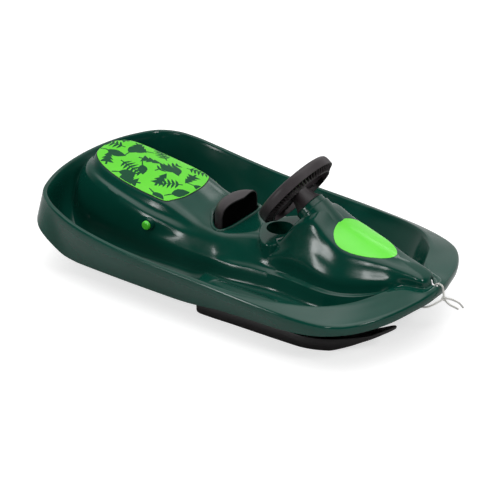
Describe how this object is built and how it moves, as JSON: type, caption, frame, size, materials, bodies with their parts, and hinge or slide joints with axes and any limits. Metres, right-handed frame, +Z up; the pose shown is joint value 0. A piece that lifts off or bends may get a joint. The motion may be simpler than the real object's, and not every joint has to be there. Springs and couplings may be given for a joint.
{
  "type": "steering bobsled",
  "caption": "Child's moulded bobsled with high rim, steering wheel that turns its skis, pull-up hand brake with toothed claw, cup hole and short tow cord",
  "frame": {"origin": "on the ground under the middle of the moulding", "axes": "+X towards the nose, +Y towards the rider's left, +Z up"},
  "size_m": [1.0511, 0.5634, 0.3546],
  "materials": {
    "green_moulding": "dark green glossy polyethylene",
    "lime_label": "lime green vinyl with dark green motifs",
    "bright_label": "bright green vinyl",
    "black_moulding": "charcoal polypropylene, fine satin",
    "ski_black": "black polyethylene",
    "cap_green": "lime green polypropylene",
    "steel": "zinc plated",
    "bush": "natural acetal",
    "cord": "white braided polyester cord"
  },
  "bodies": {
    "hull": {"hull_shell": "green_moulding", "seat_label": "lime_label", "hood_label": "bright_label", "axle_cap_left": "cap_green", "axle_cap_right": "cap_green", "brake_axle": "steel", "upper_bush": "bush", "lower_bush": "bush", "pivot_bolt_left": "steel", "pivot_bolt_right": "steel", "pivot_nut_left": "steel", "pivot_nut_right": "steel", "tow_cord": "cord", "cord_knot": "cord", "cord_end_lower": "cord", "cord_end_upper": "cord"},
    "steering": {"steering_wheel": "black_moulding", "wheel_screw": "steel", "steering_column": "steel"},
    "tie": {"tie_bar": "steel"},
    "left_ski": {"ski_left": "ski_black", "steering_stud_left": "steel", "stud_washer_left": "steel"},
    "right_ski": {"ski_right": "ski_black", "steering_stud_right": "steel", "stud_washer_right": "steel"},
    "brake": {"brake_lever": "black_moulding", "brake_claw": "steel", "claw_screw_left": "steel", "claw_screw_right": "steel"}
  },
  "joints": [
    {"name": "wheel_turn", "type": "hinge", "parent": "hull", "child": "steering", "pos_m": [0.128, 0, 0.2673], "axis": [-0.807, 0, 0.5906], "range_deg": [-24, 24]},
    {"name": "tie_bar_slide", "type": "slide", "parent": "hull", "child": "tie", "axis": [0, 1, 0], "range_m": [-0.0239, 0.0239]},
    {"name": "left_ski_turn", "type": "hinge", "parent": "hull", "child": "left_ski", "pos_m": [0.29, 0.158, 0], "axis": [0, 0, 1], "range_deg": [-11.4, 11.4]},
    {"name": "right_ski_turn", "type": "hinge", "parent": "hull", "child": "right_ski", "pos_m": [0.29, -0.158, 0], "axis": [0, 0, 1], "range_deg": [-11.4, 11.4]},
    {"name": "brake_pull", "type": "hinge", "parent": "hull", "child": "brake", "pos_m": [-0.205, 0, 0.131], "axis": [0, -1, 0], "range_deg": [0, 18]}
  ],
  "couplings": [
    {"joint": "tie_bar_slide", "follows": "wheel_turn", "m_per_rad": -0.0568},
    {"joint": "left_ski_turn", "follows": "wheel_turn", "ratio": 0.4724},
    {"joint": "right_ski_turn", "follows": "wheel_turn", "ratio": 0.4724}
  ]
}
